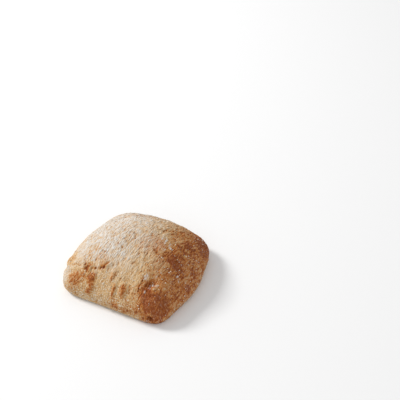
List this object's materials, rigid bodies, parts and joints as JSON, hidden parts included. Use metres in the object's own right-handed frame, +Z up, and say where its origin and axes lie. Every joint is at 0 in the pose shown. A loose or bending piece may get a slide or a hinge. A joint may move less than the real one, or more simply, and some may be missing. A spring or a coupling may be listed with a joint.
{
  "type": "ciabatta burger bun",
  "caption": "Square, pillow-shaped bread roll with a domed, floury crust, blistered and creased along its front, and a flat base.",
  "frame": {"origin": "under the middle of the bun, on the surface that its flat base rests on", "axes": "+Z up through the domed crust; +X towards the browner side; -Y towards the blistered front"},
  "size_m": [0.1078, 0.1018, 0.0408],
  "materials": {
    "crust": "baked bread crust, dry and matt, golden brown with pale flour on top"
  },
  "bodies": {
    "root": {"ciabatta_bun": "crust"}
  },
  "joints": []
}
